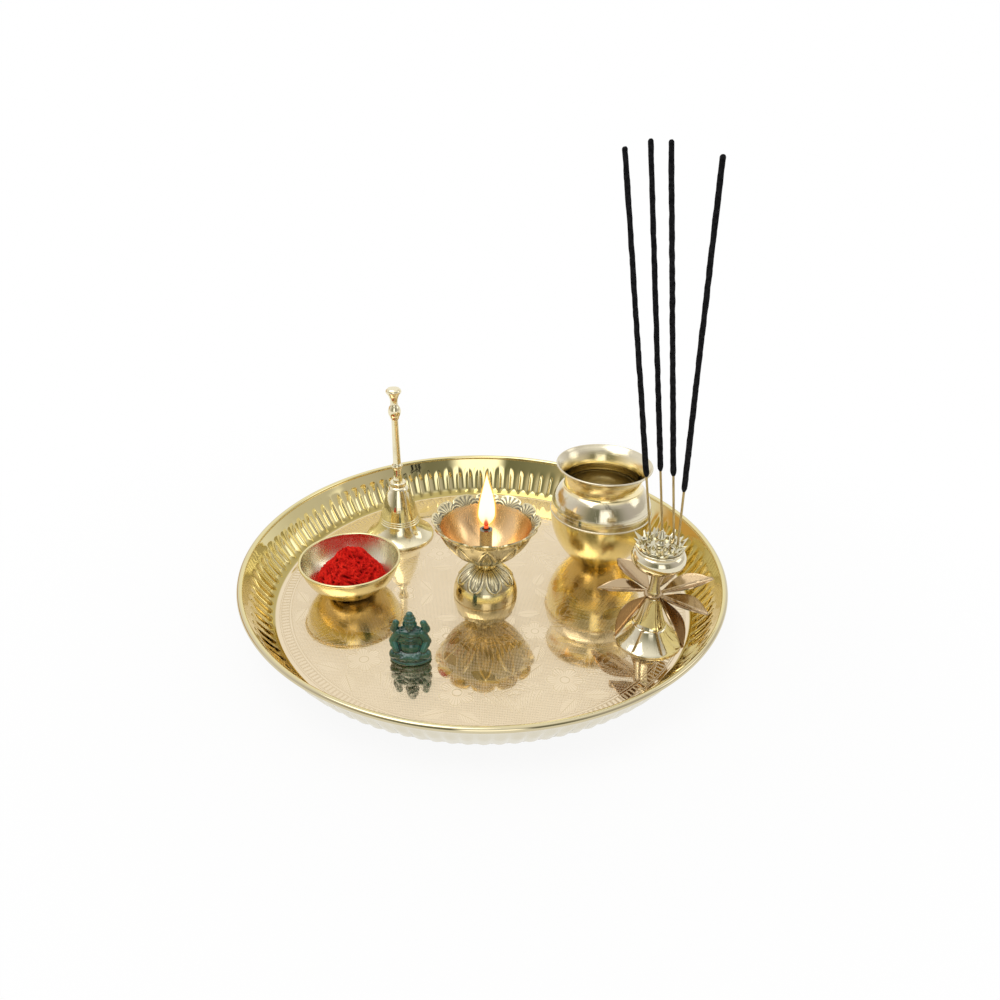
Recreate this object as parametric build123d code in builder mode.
# Brass puja thali: a fluted tray that carries an oil lamp, a hand bell, a water pot, a bowl of red
# powder, an incense stand with four sticks and a small seated stone figure.
# Millimetres, +Z up. The origin is the centre of the tray's underside, and -Y is the side facing the user.
import os
from math import cos, radians, sin, sqrt

from build123d import *

os.makedirs("parts", exist_ok=True)

# Tray of spun sheet with a rolled rim
SHEET = 1.2
RIM_R = 150.0
TRAY_H = 28.0
FLOOR_R = 129.5
COVE_R = 5.0
COVE_TURN = 54.0
RIM_BEAD_R = 1.8

# Where each item stands on the floor of the tray: the lamp by its place near the middle, the others by
# their bearing from +X and the gap between their widest part and the edge of the floor
LAMP = (1.1, -2.9)
BELL_BEARING = 132.8
BELL_GAP = 13.4
POT_BEARING = 27.9
POT_GAP = 8.8
BOWL_BEARING = 181.7
BOWL_GAP = 12.5
STAND_BEARING = -25.0
FIGURE_BEARING = -119.75
FIGURE_GAP = 37.7

# Clearances: turned parts that pass through each other, and parts that stay free of each other
FIT = 0.05
FREE = 0.3

# Oil lamp: domed foot, beaded collar, petal-edged cup and wick tube on one screw
LAMP_FOOT_R = 20.6
LAMP_FOOT_EDGE = 1.0
LAMP_FOOT_WALL = 1.8
LAMP_CROWN = 5.4
LAMP_NECK_R = 6.8
COLLAR_H = 4.9
COLLAR_BEADS = 8
CUP_H = 29.6
CUP_BASE_R = 7.0
CUP_BULGE_R = 44.0
CUP_WALL = 1.4
BOWL_EDGE_R = 27.7
LIP_RISE = 6.0
LIP_R = 33.8
PETALS = 12
PETAL_R = 9.3
SCREW_R = 2.0
SCREW_HEAD_R = 4.2
SCREW_HEAD_H = 2.2
SCREW_GRIP = 4.5
TUBE_R = 4.0
TUBE_H = 20.5
TUBE_WEB = 1.5
WICK_R = 2.5
WICK_SHOWS = 3.2
WICK_ROUND = 2.0

# Hand bell: flared dome, collar, turned handle, eye nut and clapper
BELL_R = 24.0
BELL_LIP = 1.2
BELL_WAIST_R = 13.6
BELL_WAIST_Z = 16.0
BELL_FLARE_R = 26.0
BELL_SHOULDER_R = 6.4
BELL_H = 40.0
BELL_WALL = 1.6
BELL_COLLAR_R = 5.7
BELL_COLLAR_H = 3.4
BELL_COLLAR_ROUND = 1.3
HANDLE_H = 68.6
HANDLE_FOOT_R = 3.3
HANDLE_BEAD_R = 3.7
HANDLE_BEAD_Z = 11.6
HANDLE_SHAFT_R = 2.5
HANDLE_NECK_R = 2.2
HANDLE_KNOP_R = 4.1
HANDLE_KNOP_Z = 52.6
HANDLE_TOP_R = 5.0
HANDLE_FLARE = 9.0
HANDLE_EDGE = 3.0
TENON_R = 2.0
NUT_R = 3.6
NUT_H = 5.0
EYE_R = 2.6
EYE_WIRE_R = 0.8
LOOP_R = 2.2
LOOP_WIRE_R = 0.7
CLAPPER_REACH = 19.0
CLAPPER_BALL_R = 4.2
CLAPPER_ROD_R = 0.9

# Water pot: two spun halves joined at the waist seam
POT_BASE_R = 13.6
POT_SEAM_R = 33.5
POT_SEAM_Z = 38.5
POT_BELLY_R = 44.0
POT_WALL = 1.2
POT_SIDE = 1.6
POT_SHOULDER_R = 24.0
POT_SHOULDER_TURN = 45.0
POT_NECK_R = 25.6
POT_NECK_Z = 58.4
POT_MOUTH_R = 31.5
POT_FLARE_SLOPE = 0.75
POT_H = 73.0
POT_BEAD_R = 0.7

# Bowl and its heap of powder
BOWL_R = 32.0
BOWL_H = 23.8
BOWL_FOOT_R = 12.5
BOWL_SIDE_R = 27.0
BOWL_WALL = 1.2
BOWL_BEAD_R = 0.9
POWDER_FILL = 7.0
POWDER_PEAK = 29.5
POWDER_TOP_R = 8.0
POWDER_CAP = 2.8

# Incense stand: parts threaded on one rod from the nut under the foot to the finial
STAND_FOOT_R = 20.0
STAND_FOOT_H = 31.0
STAND_FOOT_EDGE = 1.0
STAND_WAIST_R = 9.5
STAND_WAIST_Z = 11.5
STAND_TOP_R = 4.6
STAND_WALL = 1.6
STAND_CROWN = 5.0
ROD_R = 1.4
ROD_NUT_R = 3.4
ROD_NUT_H = 2.5
LEAF_TURNS = (4, 62, 120, 152, 221, 300, 316)
LEAF_TILTS = (17, 10, 7, -16, -31, -40, 6)
LEAF_REACH = 35.0
LEAF_HALF = 8.0
LEAF_SHEET = 0.9
LEAF_FOLD = 24.0
LEAF_HUB_R = 5.6
LEAF_HUB_H = 2.0
STEM_H = 15.6
STEM_FOOT_R = 3.8
STEM_R = 2.6
STEM_NECK_Z = 7.0
STEM_TOP_R = 3.6
BULB_R = 15.4
BULB_H = 15.0
BULB_LOW = 4.0
BULB_UNDER_R = 10.0
BULB_MOUTH_R = 13.4
BULB_WALL = 1.2
CROWN_H = 2.0
CROWN_RING_R = 9.3
SOCKETS = 8
SOCKET_R = 2.0
SOCKET_DROP = 5.5
SOCKET_RISE = 2.0
SPIKE_R = 2.4
SPIKE_TIP_R = 0.5
SPIKE_H = 7.5
SPIKE_LEAN = 22.0
FINIAL_R = 3.0
FINIAL_H = 9.0
FINIAL_NECK_R = 1.8
FINIAL_NECK_Z = 2.7
FINIAL_SWELL_R = 2.4
FINIAL_SWELL_Z = 4.6
FINIAL_BORE = 5.0
ROD_IN_FINIAL = 3.8

# Incense sticks: a paste roll on a bamboo core, each leaning its own way (run per unit of height)
STICK_TURNS = (120.0, 75.0, 30.0, -15.0)
STICK_LEANS = ((-0.172, -0.023), (-0.142, 0.023), (-0.134, -0.007), (-0.059, -0.110))
STICK_DEPTHS = (6.0, 4.0, 4.0, 8.0)
STICK_LENGTH = 206.0
PASTE_LENGTH = 163.0
CORE_R = 0.65
PASTE_R = 1.4
PASTE_BUTT_R = 1.75
PASTE_BUTT = 3.0
PASTE_END_R = 1.05

# Seated figure cut from one stone
FIGURE_H = 31.6
PLINTH_RX = 12.2
PLINTH_RY = 8.4
PLINTH_H = 3.4
LEG_R = 3.0
SHIN_R = 2.5
KNEE_X = 9.2
SEAT_SINK = 0.9
KNEE_FORWARD = 2.1
WAIST_R = 5.4
CHEST_R = 6.2
SHOULDER_Z = 20.0
NECK_R = 2.1
HEAD_R = 3.5
HEAD_RISE = 4.5
CROWN_TIP_R = 1.0
ARM_R = 1.9
ELBOW_OUT = 1.0
HAND_OUT = 0.6

FLOOR_TOP = SHEET


def near_wall(bearing, inset):
    """Place of an item whose axis stands in from the edge of the tray's floor."""
    reach = FLOOR_R - inset
    return (reach * cos(radians(bearing)), reach * sin(radians(bearing)))


BELL = near_wall(BELL_BEARING, BELL_R + BELL_GAP)
POT = near_wall(POT_BEARING, POT_SEAM_R + POT_GAP)
BOWL = near_wall(BOWL_BEARING, BOWL_R + BOWL_GAP)
STAND = near_wall(STAND_BEARING, STAND_FOOT_R + FREE)
FIGURE = near_wall(FIGURE_BEARING, PLINTH_RX + FIGURE_GAP)


def upright(place, height=0.0):
    """Vertical plane on an item's axis: x runs out along +X, y runs up from a height above the floor."""
    return Plane(origin=(place[0], place[1], FLOOR_TOP + height), x_dir=(1, 0, 0), z_dir=(0, -1, 0))


def level(place, height=0.0):
    """Horizontal plane on an item's axis, at a height above the floor."""
    return Plane(origin=(place[0], place[1], FLOOR_TOP + height))


def spin(place):
    """Vertical axis of an item."""
    return Axis((place[0], place[1], FLOOR_TOP), (0, 0, 1))


# Tray: the sheet profile is spun, and the rim is rolled into a bead
rim_centre = (RIM_R - RIM_BEAD_R, TRAY_H - RIM_BEAD_R)

with BuildPart() as thali:
    with BuildSketch(Plane.XZ):
        with BuildLine():
            floor_line = Line((0, 0), (FLOOR_R, 0))
            cove = JernArc(floor_line @ 1, floor_line % 1, COVE_R, COVE_TURN)
            TangentArc(cove @ 1, rim_centre, tangent=cove % 1)
            offset(amount=SHEET, side=Side.LEFT)
        make_face()
        with Locations(rim_centre):
            Circle(RIM_BEAD_R)
    revolve(axis=Axis.Z)

thali.part.label = "thali"
export_step(thali.part, "parts/thali.step")

# Lamp foot: a hollow half ball with a thick crown for the screw
screw_hole_r = SCREW_R + FIT
foot_top = LAMP_FOOT_EDGE + sqrt(LAMP_FOOT_R**2 - LAMP_NECK_R**2)
foot_inner_r = LAMP_FOOT_R - LAMP_FOOT_WALL
crown_under = foot_top - LAMP_CROWN

with BuildPart() as lamp_foot:
    with BuildSketch(upright(LAMP)):
        with BuildLine():
            Line((0, 0), (LAMP_FOOT_R, 0))
            Line((LAMP_FOOT_R, 0), (LAMP_FOOT_R, LAMP_FOOT_EDGE))
            RadiusArc((LAMP_FOOT_R, LAMP_FOOT_EDGE), (LAMP_NECK_R, foot_top), -LAMP_FOOT_R)
            Line((LAMP_NECK_R, foot_top), (0, foot_top))
            Line((0, foot_top), (0, 0))
        make_face()
    revolve(axis=spin(LAMP))
    with BuildSketch(upright(LAMP)):
        with Locations((0, LAMP_FOOT_EDGE)):
            Circle(foot_inner_r)
        with Locations((0, crown_under)):
            Rectangle(4 * LAMP_FOOT_R, 2 * LAMP_FOOT_R, align=(Align.CENTER, Align.MIN), mode=Mode.SUBTRACT)
        Rectangle(2 * LAMP_FOOT_R, 4 * LAMP_FOOT_R, align=(Align.MAX, Align.CENTER), mode=Mode.SUBTRACT)
    revolve(axis=spin(LAMP), mode=Mode.SUBTRACT)
    with Locations(level(LAMP)):
        Cylinder(screw_hole_r, foot_top, align=(Align.CENTER, Align.CENTER, Align.MIN), mode=Mode.SUBTRACT)
lamp_foot.part.label = "lamp_foot"
export_step(lamp_foot.part, "parts/lamp_foot.step")

# Beaded collar between the foot and the cup
bead_r = COLLAR_H / 2
with BuildPart(level(LAMP, foot_top)) as lamp_collar:
    Cylinder(LAMP_NECK_R - bead_r / 2, COLLAR_H, align=(Align.CENTER, Align.CENTER, Align.MIN))
    with PolarLocations(LAMP_NECK_R - bead_r / 2, COLLAR_BEADS):
        with Locations((0, 0, bead_r)):
            Sphere(bead_r)
    Cylinder(screw_hole_r, COLLAR_H, align=(Align.CENTER, Align.CENTER, Align.MIN), mode=Mode.SUBTRACT)
lamp_collar.part.label = "lamp_collar"
export_step(lamp_collar.part, "parts/lamp_collar.step")

# Lamp cup: a bowl with a flared lip, cut to petals
cup_base = foot_top + COLLAR_H
cup_floor = cup_base + CUP_WALL
edge_z = CUP_H - LIP_RISE
with BuildPart() as lamp_cup:
    with BuildSketch(upright(LAMP, cup_base)):
        with BuildLine():
            Line((0, 0), (CUP_BASE_R, 0))
            RadiusArc((CUP_BASE_R, 0), (BOWL_EDGE_R + CUP_WALL, edge_z), -CUP_BULGE_R)
            Line((BOWL_EDGE_R + CUP_WALL, edge_z), (LIP_R, CUP_H))
            Line((LIP_R, CUP_H), (0, CUP_H))
            Line((0, CUP_H), (0, 0))
        make_face()
    revolve(axis=spin(LAMP))
    offset(amount=-CUP_WALL, openings=lamp_cup.faces().sort_by(Axis.Z)[-1])
    with BuildSketch(level(LAMP, cup_base)):
        with PolarLocations(LIP_R - PETAL_R, PETALS):
            Circle(PETAL_R)
        Circle(LIP_R - PETAL_R)
    extrude(amount=CUP_H, mode=Mode.INTERSECT)
    with Locations(level(LAMP, cup_base)):
        Cylinder(screw_hole_r, CUP_H, mode=Mode.SUBTRACT)
lamp_cup.part.label = "lamp_cup"
export_step(lamp_cup.part, "parts/lamp_cup.step")

# Wick tube: stands on the cup's floor, and the screw grips its lower end
with BuildPart(level(LAMP, cup_floor)) as wick_tube:
    Cylinder(TUBE_R, TUBE_H, align=(Align.CENTER, Align.CENTER, Align.MIN))
    Cylinder(screw_hole_r, SCREW_GRIP, align=(Align.CENTER, Align.CENTER, Align.MIN), mode=Mode.SUBTRACT)
    with Locations((0, 0, SCREW_GRIP + TUBE_WEB)):
        Cylinder(WICK_R + FIT, TUBE_H, align=(Align.CENTER, Align.CENTER, Align.MIN), mode=Mode.SUBTRACT)
wick_tube.part.label = "wick_tube"
export_step(wick_tube.part, "parts/wick_tube.step")

# Screw that holds the lamp together
with BuildPart(level(LAMP, crown_under)) as lamp_screw:
    Cylinder(SCREW_HEAD_R, SCREW_HEAD_H, align=(Align.CENTER, Align.CENTER, Align.MAX))
    Cylinder(SCREW_R, cup_floor + SCREW_GRIP - crown_under, align=(Align.CENTER, Align.CENTER, Align.MIN))
lamp_screw.part.label = "lamp_screw"
export_step(lamp_screw.part, "parts/lamp_screw.step")

# Cotton wick in its tube, with a rounded top
wick_bottom = cup_floor + SCREW_GRIP + TUBE_WEB
wick_length = TUBE_H + WICK_SHOWS - SCREW_GRIP - TUBE_WEB
with BuildPart(level(LAMP, wick_bottom)) as wick:
    Cylinder(WICK_R, wick_length, align=(Align.CENTER, Align.CENTER, Align.MIN))
    fillet(wick.edges().sort_by(Axis.Z)[-1], WICK_ROUND)
wick.part.label = "wick"
export_step(wick.part, "parts/wick.step")

# Bell dome: flared mouth, straight waist and flat crown
tenon_hole_r = TENON_R + FIT
with BuildPart() as bell_dome:
    with BuildSketch(upright(BELL)):
        with BuildLine():
            Line((0, 0), (BELL_R, 0))
            Line((BELL_R, 0), (BELL_R, BELL_LIP))
            RadiusArc((BELL_R, BELL_LIP), (BELL_WAIST_R, BELL_WAIST_Z), BELL_FLARE_R)
            Line((BELL_WAIST_R, BELL_WAIST_Z), (BELL_SHOULDER_R, BELL_H))
            Line((BELL_SHOULDER_R, BELL_H), (0, BELL_H))
            Line((0, BELL_H), (0, 0))
        make_face()
    revolve(axis=spin(BELL))
    offset(amount=-BELL_WALL, openings=bell_dome.faces().sort_by(Axis.Z)[0])
    with Locations(level(BELL)):
        Cylinder(tenon_hole_r, 3 * BELL_H, mode=Mode.SUBTRACT)
bell_dome.part.label = "bell_dome"
export_step(bell_dome.part, "parts/bell_dome.step")

# Ring between the dome and the handle
with BuildPart(level(BELL, BELL_H)) as bell_collar:
    Cylinder(BELL_COLLAR_R, BELL_COLLAR_H, align=(Align.CENTER, Align.CENTER, Align.MIN))
    fillet(bell_collar.edges().filter_by(GeomType.CIRCLE), BELL_COLLAR_ROUND)
    Cylinder(tenon_hole_r, 3 * BELL_COLLAR_H, mode=Mode.SUBTRACT)
bell_collar.part.label = "bell_collar"
export_step(bell_collar.part, "parts/bell_collar.step")

# Turned handle with two swellings and a flared top, and a tenon that passes through the dome
handle_foot = BELL_H + BELL_COLLAR_H
tenon_length = BELL_COLLAR_H + BELL_WALL + NUT_H / 2
with BuildPart(level(BELL, handle_foot)) as bell_handle:
    Cylinder(TENON_R, tenon_length, align=(Align.CENTER, Align.CENTER, Align.MAX))
    Cone(HANDLE_FOOT_R, HANDLE_SHAFT_R, HANDLE_BEAD_Z, align=(Align.CENTER, Align.CENTER, Align.MIN))
    with Locations((0, 0, HANDLE_BEAD_Z)):
        Sphere(HANDLE_BEAD_R)
        Cone(
            HANDLE_SHAFT_R,
            HANDLE_NECK_R,
            HANDLE_H - HANDLE_BEAD_Z - HANDLE_FLARE,
            align=(Align.CENTER, Align.CENTER, Align.MIN),
        )
    with Locations((0, 0, HANDLE_KNOP_Z)):
        Sphere(HANDLE_KNOP_R)
    with Locations((0, 0, HANDLE_H - HANDLE_FLARE)):
        flare_length = HANDLE_FLARE - HANDLE_EDGE
        Cone(HANDLE_NECK_R, HANDLE_TOP_R, flare_length, align=(Align.CENTER, Align.CENTER, Align.MIN))
    with Locations((0, 0, HANDLE_H)):
        Cylinder(HANDLE_TOP_R, HANDLE_EDGE, align=(Align.CENTER, Align.CENTER, Align.MAX))
bell_handle.part.label = "bell_handle"
export_step(bell_handle.part, "parts/bell_handle.step")

# Eye nut inside the dome: it screws on the tenon, and its ring carries the clapper
nut_top = BELL_H - BELL_WALL
eye_z = nut_top - NUT_H - EYE_R + EYE_WIRE_R
pivot_z = eye_z - EYE_R
with BuildPart() as clapper_eye:
    with Locations(level(BELL, nut_top)):
        Cylinder(NUT_R, NUT_H, align=(Align.CENTER, Align.CENTER, Align.MAX))
    with Locations(upright(BELL, eye_z)):
        Torus(EYE_R, EYE_WIRE_R)
    with Locations(level(BELL, nut_top)):
        Cylinder(tenon_hole_r, NUT_H, mode=Mode.SUBTRACT)
clapper_eye.part.label = "clapper_eye"
export_step(clapper_eye.part, "parts/clapper_eye.step")

# Clapper: a loop round the eye's wire, a rod and a ball
loop_z = pivot_z + EYE_WIRE_R + FIT - (LOOP_R - LOOP_WIRE_R)
ball_z = pivot_z - CLAPPER_REACH
with BuildPart() as clapper:
    with Locations(Plane(origin=(BELL[0], BELL[1], FLOOR_TOP + loop_z), z_dir=(1, 0, 0))):
        Torus(LOOP_R, LOOP_WIRE_R)
    with Locations(level(BELL, loop_z - LOOP_R)):
        Cylinder(CLAPPER_ROD_R, loop_z - LOOP_R - ball_z, align=(Align.CENTER, Align.CENTER, Align.MAX))
    with Locations(level(BELL, ball_z)):
        Sphere(CLAPPER_BALL_R)
clapper.part.label = "clapper"
export_step(clapper.part, "parts/clapper.step")
print("clapper pivot", BELL[0], BELL[1], FLOOR_TOP + pivot_z)

# Water pot, lower half: a flat base and a bellied side up to the seam
with BuildPart() as kalash_lower:
    with BuildSketch(upright(POT)):
        with BuildLine():
            Line((0, 0), (POT_BASE_R, 0))
            RadiusArc((POT_BASE_R, 0), (POT_SEAM_R, POT_SEAM_Z), -POT_BELLY_R)
            Line((POT_SEAM_R, POT_SEAM_Z), (0, POT_SEAM_Z))
            Line((0, POT_SEAM_Z), (0, 0))
        make_face()
    revolve(axis=spin(POT))
    offset(amount=-POT_WALL, openings=kalash_lower.faces().sort_by(Axis.Z)[-1])
kalash_lower.part.label = "kalash_lower"
export_step(kalash_lower.part, "parts/kalash_lower.step")

# Water pot, upper half: straight side, round shoulder, neck and flared mouth
with BuildPart() as kalash_upper:
    with BuildSketch(upright(POT, POT_SEAM_Z)):
        with BuildLine():
            neck_up = POT_NECK_Z - POT_SEAM_Z
            mouth_up = POT_H - POT_SEAM_Z
            Line((0, 0), (POT_SEAM_R, 0))
            side = Line((POT_SEAM_R, 0), (POT_SEAM_R, POT_SIDE))
            shoulder = JernArc(side @ 1, side % 1, POT_SHOULDER_R, POT_SHOULDER_TURN)
            Line(shoulder @ 1, (POT_NECK_R, neck_up))
            TangentArc((POT_MOUTH_R, mouth_up), (POT_NECK_R, neck_up), tangent=(-1, -POT_FLARE_SLOPE))
            Line((POT_MOUTH_R, mouth_up), (0, mouth_up))
            Line((0, mouth_up), (0, 0))
        make_face()
    revolve(axis=spin(POT))
    offset(
        amount=-POT_WALL,
        openings=[kalash_upper.faces().sort_by(Axis.Z)[-1], kalash_upper.faces().sort_by(Axis.Z)[0]],
    )
    with Locations(level(POT, POT_SEAM_Z + POT_BEAD_R)):
        Torus(POT_SEAM_R, POT_BEAD_R)
    with Locations(level(POT, POT_H - POT_BEAD_R)):
        Torus(POT_MOUTH_R - POT_BEAD_R, POT_BEAD_R)
kalash_upper.part.label = "kalash_upper"
export_step(kalash_upper.part, "parts/kalash_upper.step")

# Bowl with a beaded lip
with BuildPart() as bowl_blank:
    with BuildSketch(upright(BOWL)):
        with BuildLine():
            Line((0, 0), (BOWL_FOOT_R, 0))
            RadiusArc((BOWL_FOOT_R, 0), (BOWL_R - BOWL_BEAD_R, BOWL_H), -BOWL_SIDE_R)
            Line((BOWL_R - BOWL_BEAD_R, BOWL_H), (0, BOWL_H))
            Line((0, BOWL_H), (0, 0))
        make_face()
    revolve(axis=spin(BOWL))

with BuildPart() as bowl:
    add(bowl_blank.part)
    offset(amount=-BOWL_WALL, openings=bowl.faces().sort_by(Axis.Z)[-1])
    with Locations(level(BOWL, BOWL_H - BOWL_BEAD_R)):
        Torus(BOWL_R - BOWL_BEAD_R, BOWL_BEAD_R)
bowl.part.label = "bowl"
export_step(bowl.part, "parts/bowl.step")

# Heap of red powder: it fills the bowl's hollow to a level and rises to a rounded peak
with BuildPart() as kumkum:
    add(bowl_blank.part)
    offset(amount=-BOWL_WALL - FIT)
    split(bisect_by=Plane(origin=(BOWL[0], BOWL[1], FLOOR_TOP + POWDER_FILL)), keep=Keep.BOTTOM)
    powder_level = kumkum.faces().sort_by(Axis.Z)[-1]
    powder_edge_r = powder_level.bounding_box().size.X / 2
    with BuildSketch(upright(BOWL, POWDER_FILL)):
        with BuildLine():
            rise = POWDER_PEAK - POWDER_FILL
            Line((0, 0), (powder_edge_r, 0))
            Line((powder_edge_r, 0), (POWDER_TOP_R, rise - POWDER_CAP))
            TangentArc((0, rise), (POWDER_TOP_R, rise - POWDER_CAP), tangent=(1, 0))
            Line((0, rise), (0, 0))
        make_face()
    revolve(axis=spin(BOWL))
kumkum.part.label = "kumkum"
export_step(kumkum.part, "parts/kumkum.step")

# Stand foot: a hollow cone with a waist and a solid top for the rod
rod_hole_r = ROD_R + FIT
stand_under = STAND_FOOT_H - STAND_CROWN
with BuildPart() as stand_foot:
    with BuildSketch(upright(STAND)):
        with BuildLine():
            Line((0, 0), (STAND_FOOT_R, 0))
            Line((STAND_FOOT_R, 0), (STAND_FOOT_R, STAND_FOOT_EDGE))
            Line((STAND_FOOT_R, STAND_FOOT_EDGE), (STAND_WAIST_R, STAND_WAIST_Z))
            Line((STAND_WAIST_R, STAND_WAIST_Z), (STAND_TOP_R, STAND_FOOT_H))
            Line((STAND_TOP_R, STAND_FOOT_H), (0, STAND_FOOT_H))
            Line((0, STAND_FOOT_H), (0, 0))
        make_face()
    revolve(axis=spin(STAND))
    with BuildSketch(upright(STAND)):
        with BuildLine():
            Line((0, 0), (STAND_FOOT_R - STAND_WALL, 0))
            Line((STAND_FOOT_R - STAND_WALL, 0), (STAND_WAIST_R - STAND_WALL, STAND_WAIST_Z))
            Line((STAND_WAIST_R - STAND_WALL, STAND_WAIST_Z), (ROD_NUT_R + FREE, stand_under))
            Line((ROD_NUT_R + FREE, stand_under), (0, stand_under))
            Line((0, stand_under), (0, 0))
        make_face()
    revolve(axis=spin(STAND), mode=Mode.SUBTRACT)
    with Locations(level(STAND)):
        Cylinder(rod_hole_r, 3 * STAND_FOOT_H, mode=Mode.SUBTRACT)
stand_foot.part.label = "stand_foot"
export_step(stand_foot.part, "parts/stand_foot.step")

# Leaf of folded sheet, made on its own and copied round the hub
leaf_root = STEM_FOOT_R + FREE
leaf_middle = (leaf_root + LEAF_REACH) / 2


def leaf_half(side):
    """One half of a leaf: a pointed outline tilted up from the fold line."""
    tilted = Plane.XY.rotated((side * LEAF_FOLD, 0, 0))
    with BuildPart() as half:
        with BuildSketch(tilted):
            with BuildLine():
                Line((leaf_root, 0), (LEAF_REACH, 0))
                ThreePointArc((leaf_root, 0), (leaf_middle, side * LEAF_HALF), (LEAF_REACH, 0))
            make_face()
        extrude(amount=LEAF_SHEET)
    return half.part


with BuildPart() as leaf:
    add(leaf_half(1))
    add(leaf_half(-1))

with BuildPart(level(STAND, STAND_FOOT_H)) as stand_leaves:
    Cylinder(LEAF_HUB_R, LEAF_HUB_H, align=(Align.CENTER, Align.CENTER, Align.MIN))
    for turn, tilt in zip(LEAF_TURNS, LEAF_TILTS):
        root = Location((0, 0, LEAF_HUB_H / 2), (0, 0, turn)) * Location((leaf_root, 0, 0), (0, -tilt, 0))
        with Locations(root * Location((-leaf_root, 0, 0))):
            add(leaf.part)
    Cylinder(rod_hole_r, 4 * LEAF_HUB_H, mode=Mode.SUBTRACT)
stand_leaves.part.label = "stand_leaves"
export_step(stand_leaves.part, "parts/stand_leaves.step")

# Stem between the leaves and the bulb
stem_foot = STAND_FOOT_H + LEAF_HUB_H
with BuildPart() as stand_stem:
    with BuildSketch(upright(STAND, stem_foot)):
        with BuildLine():
            Line((0, 0), (STEM_FOOT_R, 0))
            Spline((STEM_FOOT_R, 0), (STEM_R, STEM_NECK_Z), (STEM_TOP_R, STEM_H))
            Line((STEM_TOP_R, STEM_H), (0, STEM_H))
            Line((0, STEM_H), (0, 0))
        make_face()
    revolve(axis=spin(STAND))
    with Locations(level(STAND, stem_foot)):
        Cylinder(rod_hole_r, 3 * STEM_H, mode=Mode.SUBTRACT)
stand_stem.part.label = "stand_stem"
export_step(stand_stem.part, "parts/stand_stem.step")

# Bulb: a round hollow cup that carries the crown on its mouth
bulb_foot = stem_foot + STEM_H
with BuildPart() as stand_bulb:
    with BuildSketch(upright(STAND, bulb_foot)):
        with BuildLine():
            Line((0, 0), (STEM_TOP_R, 0))
            RadiusArc((STEM_TOP_R, 0), (BULB_R, BULB_LOW), -BULB_UNDER_R)
            TangentArc((BULB_R, BULB_LOW), (BULB_MOUTH_R, BULB_H), tangent=(0, 1))
            Line((BULB_MOUTH_R, BULB_H), (0, BULB_H))
            Line((0, BULB_H), (0, 0))
        make_face()
    revolve(axis=spin(STAND))
    offset(amount=-BULB_WALL, openings=stand_bulb.faces().sort_by(Axis.Z)[-1])
    with Locations(level(STAND, bulb_foot)):
        Cylinder(rod_hole_r, 3 * BULB_WALL, mode=Mode.SUBTRACT)
stand_bulb.part.label = "stand_bulb"
export_step(stand_bulb.part, "parts/stand_bulb.step")

# Stick axes: each passes through the mouth of its socket and leans its own way
crown_foot = bulb_foot + BULB_H
socket_mouth = crown_foot + CROWN_H + SOCKET_RISE
stick_axes = []
for turn, lean, depth in zip(STICK_TURNS, STICK_LEANS, STICK_DEPTHS):
    along = Vector(lean[0], lean[1], 1).normalized()
    mouth = Vector(
        STAND[0] + CROWN_RING_R * cos(radians(turn)),
        STAND[1] + CROWN_RING_R * sin(radians(turn)),
        FLOOR_TOP + socket_mouth,
    )
    stick_axes.append(Plane(origin=mouth - along * depth, z_dir=along))

# Crown: a disc with a ring of sockets, and a pointed petal outside each gap
socket_length = SOCKET_DROP + CROWN_H + SOCKET_RISE
spare_count = SOCKETS - len(STICK_TURNS)
spare_sockets = [STICK_TURNS[-1] - (number + 1) * 360 / SOCKETS for number in range(spare_count)]
with BuildPart(level(STAND, crown_foot)) as crown_blank:
    Cylinder(BULB_MOUTH_R, CROWN_H, align=(Align.CENTER, Align.CENTER, Align.MIN))
    with PolarLocations(CROWN_RING_R, SOCKETS, start_angle=STICK_TURNS[-1]):
        with Locations((0, 0, -SOCKET_DROP)):
            Cylinder(SOCKET_R, socket_length, align=(Align.CENTER, Align.CENTER, Align.MIN))
    with PolarLocations(CROWN_RING_R, SOCKETS, start_angle=STICK_TURNS[-1] + 180 / SOCKETS):
        with Locations(Location((0, 0, CROWN_H / 2), (0, SPIKE_LEAN, 0))):
            Cone(SPIKE_R, SPIKE_TIP_R, SPIKE_H, align=(Align.CENTER, Align.CENTER, Align.MIN))
    for turn in spare_sockets:
        socket_place = (CROWN_RING_R * cos(radians(turn)), CROWN_RING_R * sin(radians(turn)))
        with Locations((socket_place[0], socket_place[1], CROWN_H + SOCKET_RISE)):
            Cylinder(CORE_R + FIT, 2 * STICK_DEPTHS[0], mode=Mode.SUBTRACT)
    Cylinder(rod_hole_r, 4 * CROWN_H, mode=Mode.SUBTRACT)

with BuildPart() as stand_crown:
    add(crown_blank.part)
    for axis in stick_axes:
        with Locations(axis):
            Cylinder(
                CORE_R + FIT, STICK_LENGTH, align=(Align.CENTER, Align.CENTER, Align.MIN), mode=Mode.SUBTRACT
            )
stand_crown.part.label = "stand_crown"
export_step(stand_crown.part, "parts/stand_crown.step")

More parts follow.
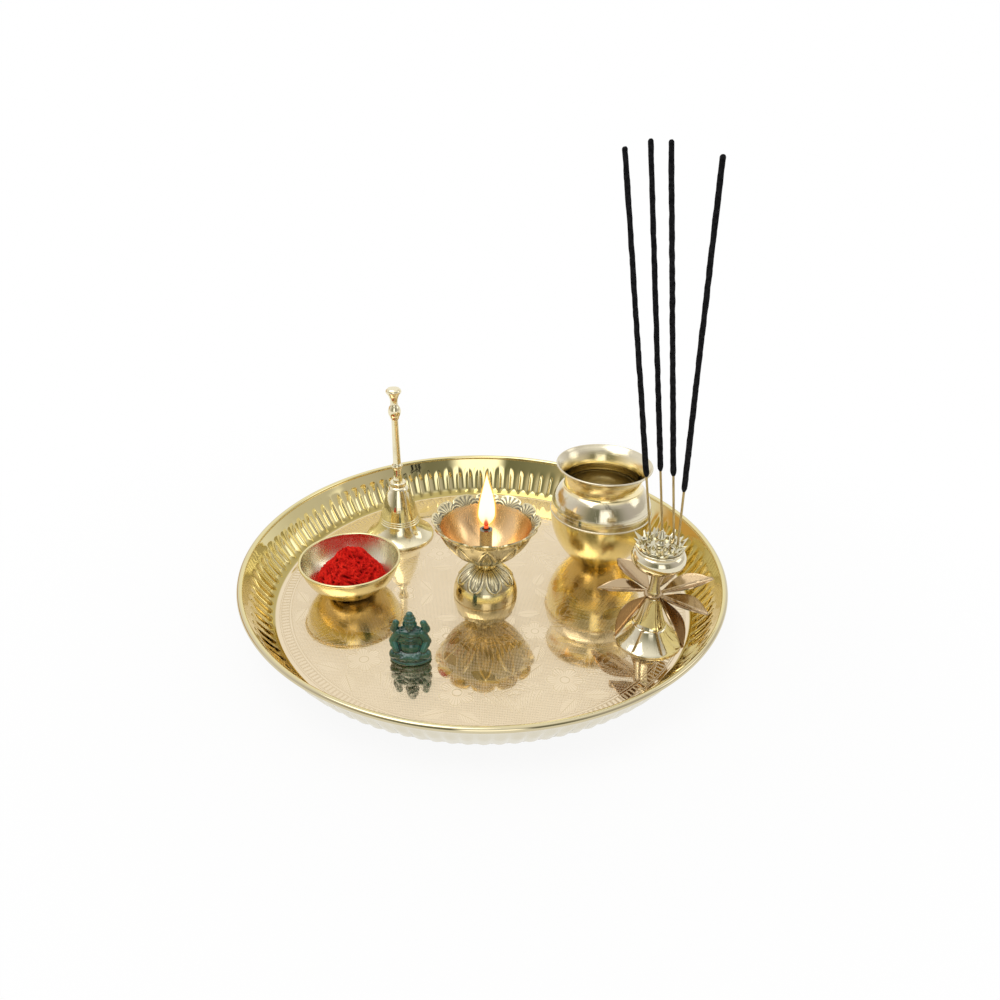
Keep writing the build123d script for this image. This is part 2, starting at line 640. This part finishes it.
# Finial: a pointed nut on top of the crown
finial_foot = crown_foot + CROWN_H
with BuildPart() as stand_finial:
    with BuildSketch(upright(STAND, finial_foot)):
        with BuildLine():
            Line((0, 0), (FINIAL_R, 0))
            Spline(
                (FINIAL_R, 0), (FINIAL_NECK_R, FINIAL_NECK_Z), (FINIAL_SWELL_R, FINIAL_SWELL_Z), (0, FINIAL_H)
            )
            Line((0, FINIAL_H), (0, 0))
        make_face()
    revolve(axis=spin(STAND))
    with Locations(level(STAND, finial_foot)):
        Cylinder(rod_hole_r, 2 * FINIAL_BORE, mode=Mode.SUBTRACT)
stand_finial.part.label = "stand_finial"
export_step(stand_finial.part, "parts/stand_finial.step")

# Threaded rod through the whole stand, and the nut under the foot
rod_top = finial_foot + ROD_IN_FINIAL
rod_length = rod_top - stand_under + ROD_NUT_H
with BuildPart(level(STAND, stand_under - ROD_NUT_H)) as stand_rod:
    Cylinder(ROD_R, rod_length, align=(Align.CENTER, Align.CENTER, Align.MIN))
stand_rod.part.label = "stand_rod"
export_step(stand_rod.part, "parts/stand_rod.step")

with BuildPart(level(STAND, stand_under)) as stand_nut:
    with BuildSketch(level(STAND, stand_under - ROD_NUT_H)):
        RegularPolygon(ROD_NUT_R, 6)
        Circle(rod_hole_r, mode=Mode.SUBTRACT)
    extrude(amount=ROD_NUT_H)
stand_nut.part.label = "stand_nut"
export_step(stand_nut.part, "parts/stand_nut.step")

# Incense sticks
paste_start = STICK_LENGTH - PASTE_LENGTH
for number, axis in enumerate(stick_axes, start=1):
    with BuildPart() as core:
        with Locations(axis):
            Cylinder(CORE_R, STICK_LENGTH, align=(Align.CENTER, Align.CENTER, Align.MIN))
    core.part.label = f"incense_core_{number}"
    export_step(core.part, f"parts/incense_core_{number}.step")

    with BuildPart() as paste:
        with Locations(axis.offset(paste_start)):
            Cone(PASTE_END_R, PASTE_BUTT_R, PASTE_BUTT, align=(Align.CENTER, Align.CENTER, Align.MIN))
        with Locations(axis.offset(paste_start + PASTE_BUTT)):
            roll_length = PASTE_LENGTH - PASTE_BUTT
            Cone(PASTE_BUTT_R, PASTE_R, roll_length, align=(Align.CENTER, Align.CENTER, Align.MIN))
        with Locations(axis):
            Cylinder(
                CORE_R, STICK_LENGTH, align=(Align.CENTER, Align.CENTER, Align.MIN), mode=Mode.SUBTRACT
            )
    paste.part.label = f"incense_paste_{number}"
    export_step(paste.part, f"parts/incense_paste_{number}.step")
    print("stick", number, [round(value, 5) for value in axis.z_dir])


def limb(start, end, radius):
    """Round-ended bar between two points, added to the figure that is being built."""
    run = Vector(*end) - Vector(*start)
    with Locations(Plane(origin=start, z_dir=run)):
        Cylinder(radius, run.length, align=(Align.CENTER, Align.CENTER, Align.MIN))
    with Locations(start, end):
        Sphere(radius)


# Seated figure with crossed legs, two arms on the knees, two raised hands and a tall crown
seat_z = PLINTH_H + LEG_R - SEAT_SINK
head_z = SHOULDER_Z + HEAD_RISE
with BuildPart(level(FIGURE)) as figure:
    with BuildSketch(level(FIGURE)):
        Ellipse(PLINTH_RX, PLINTH_RY)
    extrude(amount=PLINTH_H)
    with Locations((0, 0, PLINTH_H)):
        Cone(WAIST_R, CHEST_R, SHOULDER_Z - PLINTH_H, align=(Align.CENTER, Align.CENTER, Align.MIN))
    with Locations((0, 0, SHOULDER_Z)):
        Cylinder(NECK_R, 2 * HEAD_RISE)
    with Locations((0, 0, head_z)):
        Sphere(HEAD_R)
        Cone(HEAD_R, CROWN_TIP_R, FIGURE_H - head_z, align=(Align.CENTER, Align.CENTER, Align.MIN))
    for side in (-1, 1):
        hip = (side * LEG_R, 0, seat_z)
        knee = (side * KNEE_X, -KNEE_FORWARD, seat_z)
        ankle = (-side * LEG_R, -PLINTH_RY + LEG_R, seat_z)
        shoulder = (side * CHEST_R, 0, SHOULDER_Z - ARM_R)
        elbow = (side * (KNEE_X + ELBOW_OUT), 0, (SHOULDER_Z + seat_z) / 2)
        wrist = (side * KNEE_X, -KNEE_FORWARD, seat_z + LEG_R)
        raised = (side * (KNEE_X + HAND_OUT), 0, SHOULDER_Z + HEAD_R)
        limb(hip, knee, LEG_R)
        limb(knee, ankle, SHIN_R)
        limb(shoulder, elbow, ARM_R)
        limb(elbow, wrist, ARM_R)
        limb(shoulder, raised, ARM_R)
figure.part.label = "figure"
export_step(figure.part, "parts/figure.step")
